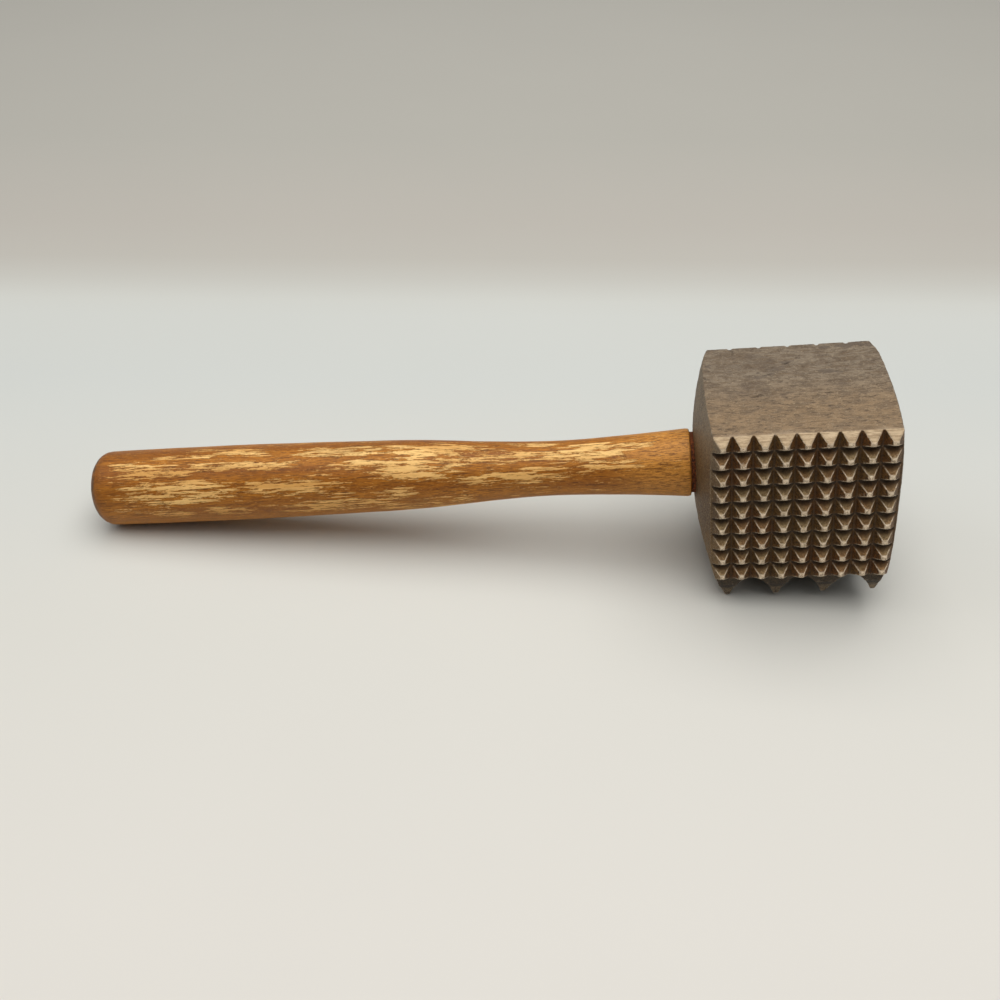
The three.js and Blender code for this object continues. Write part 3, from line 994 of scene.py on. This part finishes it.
def make_handle():
    profile, shoulder, tenon_radius = handle_profile()
    mesh = lathe(profile, HANDLE_SIDES)
    points = points_of(mesh)
    weather_handle(points, shoulder, tenon_radius)
    set_points(mesh, points)
    mesh.materials.append(varnished_wood())
    handle = new_piece("handle_wood", mesh, "handle")
    cut_slots(handle)
    mesh = handle.data
    add_attribute(mesh, "bare", bareness(points_of(mesh)))
    mesh.transform(HEAD_FRAME)
    mesh.shade_smooth()
    mesh.set_sharp_from_angle(angle=math.radians(SHARP_DEGREES))


def dress_wedges():
    """The wedges are the solids themselves, with materials."""
    for node, material in (("wood_wedge", wedge_wood()), ("steel_wedge", wedge_steel())):
        for place in frame["nodes"][node].material_slots:
            place.material = material


# Stage

TABLE_RADIUS = 2.5
TABLE_SIDES = 128
TABLE_CLOUDS_PER_METRE = 9
TABLE_UNEVEN = 0.015

# Direction away from the camera, and the table's tones: distance that way from the frame's origin,
# and colour
AWAY = (-0.07, 0.9975)
TABLE_TONES = (
    (-0.50, rgb(221, 217, 209)),
    (-0.157, rgb(220, 216, 208)),
    (-0.044, rgb(214, 212, 204)),
    (0.107, rgb(205, 207, 202)),
    (0.165, rgb(206, 207, 201)),
    (0.181, rgb(205, 205, 198)),
    (0.202, rgb(196, 194, 186)),
    (0.225, rgb(189, 185, 176)),
    (0.27, rgb(186, 181, 172)),
    (0.40, rgb(182, 179, 170)),
    (0.67, rgb(186, 183, 174)),
    (1.50, rgb(192, 189, 181)),
)

# Lamps: place, point that they face, sides, watts and colour
LAMPS = {
    "overhead": ((0.13, 0.0, 1.1), (0.05, 0.0, 0.0), (1.4, 1.0), 9.8, (1, 0.995, 0.985)),
    "left": ((-0.9, 0.0, 0.9), (0.05, 0.0, 0.03), (0.7, 0.7), 1.6, (0.98, 0.99, 1)),
}

# Sky: its strength rises from the horizon's to the full one between two cosines of the angle from
# its axis. The horizon is dark for the light that it gives, and pale where it is seen or mirrored
SKY_COLOR = (0.99, 0.995, 1.0, 1)
SKY_AXIS = (0.0, -0.08, 0.997)
SKY_REACH = (0.45, 0.88)
SKY_STRENGTH = 0.84
DARK_HORIZON = 0.005
PALE_HORIZON = 0.4

# Camera: place, turn in degrees, and millimetres of lens and sensor
CAMERA_AT = (0.03105, -0.31963, 0.26221)
CAMERA_TURN = (52.554, -0.212, 4.587)
CAMERA_LENS = 41.4
CAMERA_SENSOR = 36
CAMERA_CLIP = 0.01


def table_material():
    """A pale matte surface whose tone drops behind the mallet, in one soft line."""
    t = Surface("table")
    x, y, _ = t.split(t.object_place)
    away = t.times_plus(y, AWAY[1], t.times(x, AWAY[0]))
    first, last = TABLE_TONES[0][0], TABLE_TONES[-1][0]
    ramp = t.add("ShaderNodeValToRGB", {0: t.line(away, first, last)})
    stops = ramp.color_ramp.elements
    while len(stops) < len(TABLE_TONES):
        stops.new(1.0)
    for stop, (place, tone) in zip(stops, TABLE_TONES):
        stop.position = (place - first) / (last - first)
        stop.color = tone
    inputs = {"Vector": t.object_place, "Scale": TABLE_CLOUDS_PER_METRE, "Detail": 5}
    cloud = t.add("ShaderNodeTexNoise", inputs).outputs["Fac"]
    uneven = t.line(cloud, to_low=1 - TABLE_UNEVEN, to_high=1 + TABLE_UNEVEN)
    color = t.mix(1.0, ramp.outputs[0], uneven, "MULTIPLY")
    return t.finish(color, 0.9, **{"Specular IOR Level": 0.15})


def make_stage():
    """A round table, so large that only its top shows."""
    corners = [(0.0, 0.0, 0.0)]
    for k in range(TABLE_SIDES):
        turn = 2 * math.pi * k / TABLE_SIDES
        corners.append((TABLE_RADIUS * math.cos(turn), TABLE_RADIUS * math.sin(turn), 0.0))
    faces = [(0, 1 + k, 1 + (k + 1) % TABLE_SIDES) for k in range(TABLE_SIDES)]
    mesh = bpy.data.meshes.new("round_table")
    mesh.from_pydata(corners, [], faces)
    mesh.materials.append(table_material())
    new_object("round_table", mesh)


def make_lamps():
    for name, (at, aim, sides, power, color) in LAMPS.items():
        data = bpy.data.lights.new(name, "AREA")
        data.shape = "RECTANGLE"
        data.size, data.size_y = sides
        data.energy = power
        data.color = color
        lamp = new_object(name, data)
        lamp.location = at
        lamp.rotation_euler = (Vector(aim) - Vector(at)).to_track_quat("-Z", "Y").to_euler()


def make_sky():
    world = bpy.data.worlds.new("studio")
    world.use_nodes = True
    t = Tree(world.node_tree)
    background = t.tree.nodes["Background"]
    background.inputs["Color"].default_value = SKY_COLOR
    way = t.add("ShaderNodeTexCoord").outputs["Generated"]
    upwards = t.add("ShaderNodeVectorMath", {0: way, 1: SKY_AXIS}, operation="DOT_PRODUCT")
    dark, pale = (
        t.step(upwards.outputs["Value"], *SKY_REACH, horizon, SKY_STRENGTH)
        for horizon in (DARK_HORIZON, PALE_HORIZON)
    )
    rays = t.add("ShaderNodeLightPath").outputs
    seen = t.math("MAXIMUM", rays["Is Camera Ray"], rays["Is Glossy Ray"])
    seen = t.math("MAXIMUM", seen, rays["Is Transmission Ray"])
    strength = t.add("ShaderNodeMix", {0: seen, 2: dark, 3: pale}).outputs[0]
    t.tree.links.new(strength, background.inputs["Strength"])
    bpy.context.scene.world = world


def make_camera():
    data = bpy.data.cameras.new("camera")
    data.lens = CAMERA_LENS
    data.sensor_width = CAMERA_SENSOR
    data.clip_start = CAMERA_CLIP
    camera = new_object("camera", data)
    camera.location = CAMERA_AT
    camera.rotation_euler = [math.radians(a) for a in CAMERA_TURN]
    bpy.context.scene.camera = camera


make_camera()
make_stage()
make_lamps()
make_sky()
make_head()
make_handle()
dress_wedges()

bpy.context.scene.view_settings.view_transform = "Standard"
